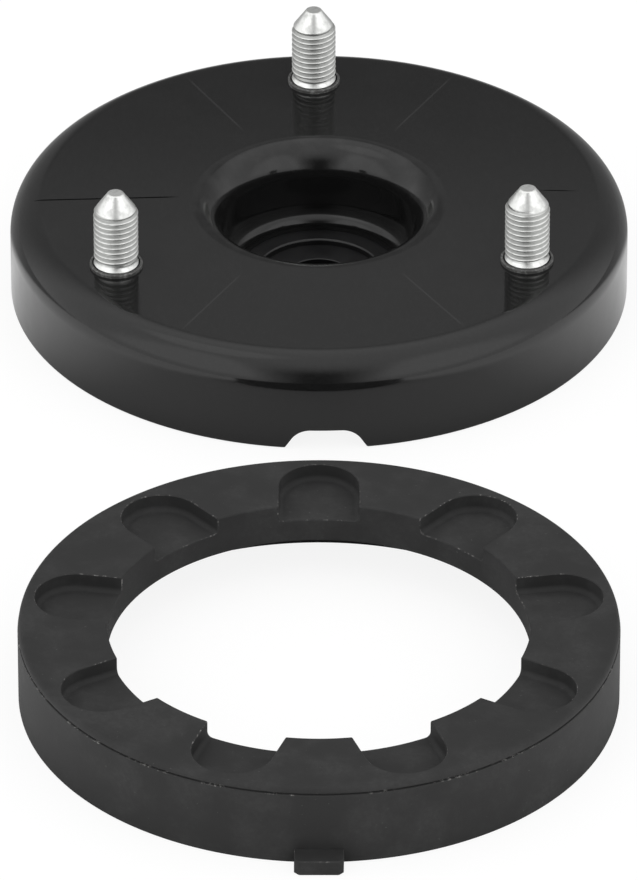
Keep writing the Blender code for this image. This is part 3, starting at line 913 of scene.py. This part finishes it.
def isolator_outline(sizes):
    """Section of the ring; the coil spring seats in the angle under it."""
    top = sizes.height
    outer = RING_RADIUS
    round_off = sizes.edge_round
    inner = outer - sizes.skirt_wall
    seat = sizes.coil_seat_height
    bore = sizes.bore_radius
    fillet = COIL_FILLET
    edge = RING_EDGE
    wall = outer - PARTING_STEP
    groove = wall - PARTING_GROOVE
    line = parting_height(sizes)
    outline = arc(bore + edge, top - edge, edge, 180.0, 90.0, 4)
    outline += arc(wall - round_off, top - round_off, round_off, 90.0, 0.0, 8)
    outline += [(wall, line + PARTING_GROOVE), (groove, line + 0.6 * PARTING_GROOVE),
                (groove, line), (outer - 0.1 * MM, line - 0.1 * MM), (outer, line - 0.25 * MM)]
    outline += arc(outer - edge, edge, edge, 0.0, -90.0, 4)
    outline += arc(inner + edge, edge, edge, -90.0, -180.0, 4)
    outline += arc(inner - fillet, seat - fillet, fillet, 0.0, 90.0, 10)
    outline += arc(bore + edge, seat + edge, edge, -90.0, -180.0, 4)
    return outline


def pockets(sizes):
    """Cutters for the pockets, round at the foot of the wall and open to the bore."""
    floor = sizes.height - sizes.pocket_depth
    inner = sizes.bore_radius - sizes.pocket_radius
    pocket = prism(u_outline(sizes.pocket_radius, inner, 28), floor, sizes.height + OVERRUN)
    bevel(pocket, [edge for edge in pocket.edges if at_height(edge, floor)], sizes.pocket_fillet, 5)
    return turned_copies(pocket, lug_angles())


def key_tab(sizes):
    """The tab at the foot of the wall that keys into the mount's rim notch."""
    half = sizes.tab_width / 2.0
    corner = TAB_CORNER
    outer = RING_AXIS.y - ISOLATOR_LOW.y
    inner = RING_RADIUS - sizes.skirt_wall / 2.0
    outline = [(inner, -half), (outer - corner, -half), (outer, corner - half),
               (outer, half - corner), (outer - corner, half), (inner, half)]
    tab = prism(outline, 0.0, sizes.tab_height)
    rim = [edge for edge in tab.edges if all(vert.co.x > inner + MERGE for vert in edge.verts)]
    bevel(tab, rim, TAB_EDGE)
    rotate(tab, -RIGHT_ANGLE)
    return tab


def rub_edges(ring, sizes):
    """Breaks the sharp edges of the pockets and the tab a little; returns the new narrow faces."""
    floor = sizes.height - sizes.pocket_depth
    found = []
    for edge in ring.edges:
        if not edge.is_manifold or edge.calc_face_angle_signed() < RUBBED_ANGLE:
            continue
        centre = (edge.verts[0].co + edge.verts[1].co) / 2.0
        reach = math.hypot(centre.x, centre.y)
        on_pocket = centre.z > floor - MERGE and reach < RING_RADIUS - 3.0 * MM
        on_tab = reach > RING_RADIUS + 0.4 * MM and centre.z > 0.2 * MM
        if on_pocket or on_tab:
            found.append(edge)
    return bevel(ring, found, RUBBED_EDGE, 1, clamped=False)["faces"]


def rubbed_material(settings):
    """The same rubber where its edges and parting line are rubbed: dusty in stretches of flecks."""
    material, tree, shader = new_material("rubbed_rubber_edges")
    place = centred(tree, RING_AXIS)
    flecks = ramp(tree, cloud(tree, place, 1.1 * MM, 3.0, 0.7), 0.5, 0.68)
    patches = ramp(tree, cloud(tree, place, 9.0 * MM, 2.0), 0.44, 0.6)
    dusty = product(tree, flecks, patches)
    tone = blend(tree, dusty, rgba(settings.rubber), rgba(linear("#858482")))
    tree.links.new(tone, shader.inputs["Base Color"])
    shader.inputs["Roughness"].default_value = 0.85
    return material


def rubber_material(settings):
    """Carbon-black filled natural rubber, compression moulded: matt, mottled by bloom and dust."""
    material, tree, shader = new_material("compression_moulded_rubber")
    place = centred(tree, RING_AXIS)
    broad = cloud(tree, place, 14.0 * MM, 5.0, 0.62)
    fine = cloud(tree, place, 1.4 * MM, 3.0, 0.7)
    patches = ramp(tree, broad, 0.38, 0.66, 0.0, 0.6)
    cover = product(tree, patches, ramp(tree, fine, 0.2, 0.8, 0.4, 1.0))
    tone = blend(tree, cover, rgba(settings.rubber), rgba(settings.bloom))
    # Dust is under 0.1 mm; drawn at 0.7 mm so that single specks show.
    specks = ramp(tree, cloud(tree, place, 0.7 * MM, 1.0), 0.74, 0.86, 0.0, 0.22)
    dusty = blend(tree, specks, tone, rgba(linear("#8a8987")))
    rough = ramp(tree, broad, 0.3, 0.7, settings.roughness - 0.06, settings.roughness + 0.06)
    bump = bump_node(tree, fine, 0.03 * MM, Strength=0.7)
    tree.links.new(dusty, shader.inputs["Base Color"])
    tree.links.new(rough, shader.inputs["Roughness"])
    tree.links.new(bump, shader.inputs["Normal"])
    shader.inputs["Specular IOR Level"].default_value = 0.25
    return material


class STRUTMOUNT_OT_isolator(bpy.types.Operator):
    """Models the rubber ring with its pockets, coil seat and key tab"""
    bl_idname = "strut_mount.isolator"
    bl_label = "Isolator"

    def execute(self, context):
        sizes = context.scene.strut_mount_isolator
        ring = spun(isolator_outline(sizes), LARGE_STEPS)
        ring = combined(ring, key_tab(sizes), "UNION")
        ring = combined(ring, pockets(sizes), "DIFFERENCE")
        rubbed = set(rub_edges(ring, sizes))
        line = parting_height(sizes)
        for face in ring.faces:
            centre = face.calc_center_median()
            outside = math.hypot(centre.x, centre.y) > RING_RADIUS - 1.0 * MM
            on_line = outside and abs(centre.z - line) < 0.3 * MM
            face.material_index = int(face in rubbed or on_line)
        materials = [rubber_material(sizes), rubbed_material(sizes)]
        add_piece("isolator_ring", ring, Matrix.Translation(RING_AXIS), materials,
                  "spring_isolator")
        return {"FINISHED"}


# Stage

AIM = Vector((0.0, 20.7 * MM, 0.0))
PHOTO_HEIGHT = 880
SENSOR = 36.0
WHITE = (1.0, 1.0, 1.0, 1.0)
BOX_TOWARDS = (-0.31, 0.09, 0.95)
BOX_INNER = math.radians(7.0)
BOX_OUTER = math.radians(15.0)
CARD_BEHIND = 0.45
CARD_HALF_WIDTH = 0.16
CARD_HEIGHT = 0.5
PLATE_HALF = 73.0 * MM


def card_hit(y, tilt):
    """Height at which the card is mirrored by the plate at y from the mount's axis."""
    return HOUSING_HIGH.z + (CARD_BEHIND - y) * math.tan(tilt)


CARD_FOOT = 0.1
CARD_LOW = card_hit(PLATE_HALF, CAMERA_TILT)
CARD_HIGH = card_hit(0.0, CAMERA_TILT)
UNDER_BORE = 40.0 * MM
GLOW_START = 60.0 * MM
GLOW_END = 100.0 * MM
DARK_START = 5.0 * MM
DARK_END = 35.0 * MM
FLOOR_HALF = 4.0
FLOOR_DROP = 0.05 * MM
FLOOR_SHOWN = 0.88
FLOOR_SHADED = (0.14, 0.14, 0.14, 1.0)

# Soft limits of the tent's parts, as x (right), y (back) and z (up) of the way one looks
BACK_FROM_Y, BACK_TO_Z = (0.35, 0.8), (0.6, 0.9)
SIDES_FROM_X, SIDES_TO_Y = (0.28, 0.42), (-0.3, -0.05)
SIDES_FROM_Z, SIDES_TO_Z = (0.1, 0.3), (0.8, 0.95)
NEAR_TO_X, NEAR_TO_Y, NEAR_TO_Z = (0.05, 0.42), (-0.25, 0.0), (0.5, 1.0)


def sky(scene, settings):
    """White light tent: grey towards the back, a bright box overhead on the left, one on each
    side of the camera and a dark opening round it. The camera itself sees plain white."""
    world = bpy.data.worlds.new("white_light_tent")
    scene.world = world
    world.use_nodes = True
    tree = world.node_tree
    towards = add_node(tree, "ShaderNodeTexCoord").outputs["Generated"]
    x, y, z = split(tree, towards)
    aside = math_node(tree, "ABSOLUTE", x)
    back = product(tree, ramp(tree, y, *BACK_FROM_Y), fall(tree, z, *BACK_TO_Z))
    sides = product(tree, ramp(tree, aside, *SIDES_FROM_X), fall(tree, y, *SIDES_TO_Y))
    band = product(tree, ramp(tree, z, *SIDES_FROM_Z), fall(tree, z, *SIDES_TO_Z))
    near = product(tree, fall(tree, aside, *NEAR_TO_X), fall(tree, y, *NEAR_TO_Y))
    dot = add_node(tree, "ShaderNodeVectorMath", {0: towards, 1: BOX_TOWARDS},
                   operation="DOT_PRODUCT")
    box = ramp(tree, dot.outputs["Value"], math.cos(BOX_OUTER), math.cos(BOX_INNER))
    light = settings.tent
    for mask, amount in ((back, settings.back), (box, settings.box),
                         (product(tree, sides, band), settings.sides),
                         (product(tree, near, fall(tree, z, *NEAR_TO_Z)), settings.near)):
        light = mix_levels(tree, mask, light, amount)
    background = tree.nodes["Background"]
    tree.links.new(light, background.inputs["Strength"])
    background.inputs["Color"].default_value = WHITE
    plain = add_node(tree, "ShaderNodeBackground", {"Color": WHITE, "Strength": 1.0})
    paths = add_node(tree, "ShaderNodeLightPath")
    shown = add_node(tree, "ShaderNodeMixShader", {0: paths.outputs["Is Camera Ray"],
                                                   1: background.outputs[0], 2: plain.outputs[0]})
    tree.links.new(shown.outputs[0], tree.nodes["World Output"].inputs["Surface"])


def floor_material(settings):
    """White cove of matt vinyl: it shows nearly pure white, with only a breath of shadow. To other
    rays it glows beside the set, a painted light with no lamp there; under the bore it is painted
    nearly black as painted shade, and behind the mount grey, so the mount mirrors it dark."""
    material, tree, shader = new_material("matt_white_vinyl")
    tree.nodes.remove(shader)
    glow = add_node(tree, "ShaderNodeEmission", {"Color": WHITE, "Strength": FLOOR_SHOWN})
    faint = add_node(tree, "ShaderNodeBsdfDiffuse", {"Color": FLOOR_SHADED})
    seen = add_node(tree, "ShaderNodeAddShader", {0: glow.outputs[0], 1: faint.outputs[0]})
    place = centred(tree, MOUNT_AXIS)
    x, y, _ = split(tree, place)
    uncovered = ramp(tree, reach_of(tree, place), UNDER_BORE - 5.0 * MM, UNDER_BORE)
    ahead = fall(tree, y, DARK_START, DARK_END)
    tone = blend(tree, ahead, rgba(linear("#a8a8a8")), rgba(settings.floor))
    # Painted shade: under the bore the floor is nearly black, so nothing lights the rod hole from
    # below.
    colour_here = blend(tree, uncovered, rgba(linear("#101010")), tone)
    aside = math_node(tree, "ABSOLUTE", x)
    beside = ramp(tree, aside, GLOW_START, GLOW_END, 0.0, settings.glow)
    # Painted light: the floor glows beside and in front of the mount, for all rays but the
    # camera's.
    painted_side_glow = product(tree, beside, ahead)
    matt = add_node(tree, "ShaderNodeBsdfDiffuse", {"Color": colour_here})
    lit = add_node(tree, "ShaderNodeEmission", {"Color": WHITE, "Strength": painted_side_glow})
    real = add_node(tree, "ShaderNodeAddShader", {0: matt.outputs[0], 1: lit.outputs[0]})
    paths = add_node(tree, "ShaderNodeLightPath")
    shown = add_node(tree, "ShaderNodeMixShader", {0: paths.outputs["Is Camera Ray"],
                                                   1: real.outputs[0], 2: seen.outputs[0]})
    tree.links.new(shown.outputs[0], tree.nodes["Material Output"].inputs["Surface"])
    return material


def card_material(settings):
    """Grey graduated card, darker towards its foot and its sides blending into the tent."""
    material, tree, shader = new_material("graduated_grey_card")
    tree.nodes.remove(shader)
    coordinates = add_node(tree, "ShaderNodeTexCoord")
    x, _, height = split(tree, coordinates.outputs["Object"])
    low = ramp(tree, height, CARD_FOOT, CARD_LOW, settings.card_foot, settings.card_low)
    gain = settings.card_high - settings.card_low
    rise = ramp(tree, height, CARD_LOW, CARD_HIGH, 0.0, gain, "LINEAR")
    graded = math_node(tree, "ADD", low, rise)
    edge = ramp(tree, math_node(tree, "ABSOLUTE", x), 0.6 * CARD_HALF_WIDTH, CARD_HALF_WIDTH)
    shown = mix_levels(tree, edge, graded, settings.back)
    glow = add_node(tree, "ShaderNodeEmission", {"Color": WHITE, "Strength": shown})
    tree.links.new(glow.outputs[0], tree.nodes["Material Output"].inputs["Surface"])
    return material


def stage_sheet(name, size, place, material):
    """A flat sheet of the stage."""
    shape = bmesh.new()
    bmesh.ops.create_grid(shape, x_segments=1, y_segments=1, size=1.0)
    bmesh.ops.scale(shape, verts=shape.verts, vec=size)
    bmesh.ops.transform(shape, matrix=place, verts=shape.verts)
    mesh = mesh_of(shape, name)
    mesh.materials.append(material)
    sheet = bpy.data.objects.new(name, mesh)
    bpy.context.scene.collection.objects.link(sheet)
    return sheet


class STRUTMOUNT_OT_stage(bpy.types.Operator):
    """Sets the pale floor, the soft white studio and the camera"""
    bl_idname = "strut_mount.stage"
    bl_label = "Stage"

    def execute(self, context):
        scene = context.scene
        settings = scene.strut_mount_stage
        stage_sheet("floor", (FLOOR_HALF, FLOOR_HALF, 1.0),
                    Matrix.Translation((0.0, 0.0, -FLOOR_DROP)), floor_material(settings))
        upright = Matrix.Translation(MOUNT_AXIS + Vector((0.0, CARD_BEHIND, CARD_HEIGHT / 2.0)))
        card = stage_sheet("grey_card", (CARD_HALF_WIDTH, CARD_HEIGHT / 2.0, 1.0),
                           upright @ Matrix.Rotation(RIGHT_ANGLE, 4, "X"), card_material(settings))
        card.visible_camera = False
        card.visible_diffuse = False
        card.visible_shadow = False
        sky(scene, settings)
        camera = bpy.data.objects.new("camera", bpy.data.cameras.new("camera"))
        scene.collection.objects.link(camera)
        camera.data.sensor_width = SENSOR
        camera.data.lens = settings.focal_pixels * SENSOR / PHOTO_HEIGHT
        tilt = settings.camera_elevation
        back = Vector((0.0, -math.cos(tilt), math.sin(tilt)))
        camera.location = AIM + settings.camera_distance * back
        camera.rotation_euler = (RIGHT_ANGLE - tilt, 0.0, 0.0)
        scene.camera = camera
        scene.view_settings.view_transform = "Standard"
        return {"FINISHED"}


class STRUTMOUNT_PT_panel(bpy.types.Panel):
    """Builds the set and holds its sizes and colours"""
    bl_label = "Strut mount"
    bl_idname = "STRUTMOUNT_PT_panel"
    bl_space_type = "VIEW_3D"
    bl_region_type = "UI"
    bl_category = "Strut mount"

    def draw(self, context):
        for operator, group in BUILD_ORDER:
            box = self.layout.box()
            box.operator(operator.bl_idname)
            if group:
                settings = getattr(context.scene, group)
                for name in settings.bl_rna.properties.keys()[2:]:
                    box.prop(settings, name)


BUILD_ORDER = (
    (STRUTMOUNT_OT_housing, "strut_mount_housing"),
    (STRUTMOUNT_OT_rod_seat, None),
    (STRUTMOUNT_OT_studs, "strut_mount_studs"),
    (STRUTMOUNT_OT_isolator, "strut_mount_isolator"),
    (STRUTMOUNT_OT_stage, "strut_mount_stage"),
)
SETTINGS = {
    "strut_mount_housing": HousingSettings,
    "strut_mount_studs": StudSettings,
    "strut_mount_isolator": IsolatorSettings,
    "strut_mount_stage": StageSettings,
}
CLASSES = [*SETTINGS.values(), *(operator for operator, _ in BUILD_ORDER), STRUTMOUNT_PT_panel]


def register():
    for cls in CLASSES:
        bpy.utils.register_class(cls)
    for name, group in SETTINGS.items():
        setattr(bpy.types.Scene, name, PointerProperty(type=group))


def unregister():
    for name in SETTINGS:
        delattr(bpy.types.Scene, name)
    for cls in reversed(CLASSES):
        bpy.utils.unregister_class(cls)


def main():
    register()
    for operator, _ in BUILD_ORDER:
        area, name = operator.bl_idname.split(".")
        getattr(getattr(bpy.ops, area), name)()


if __name__ == "__main__":
    main()
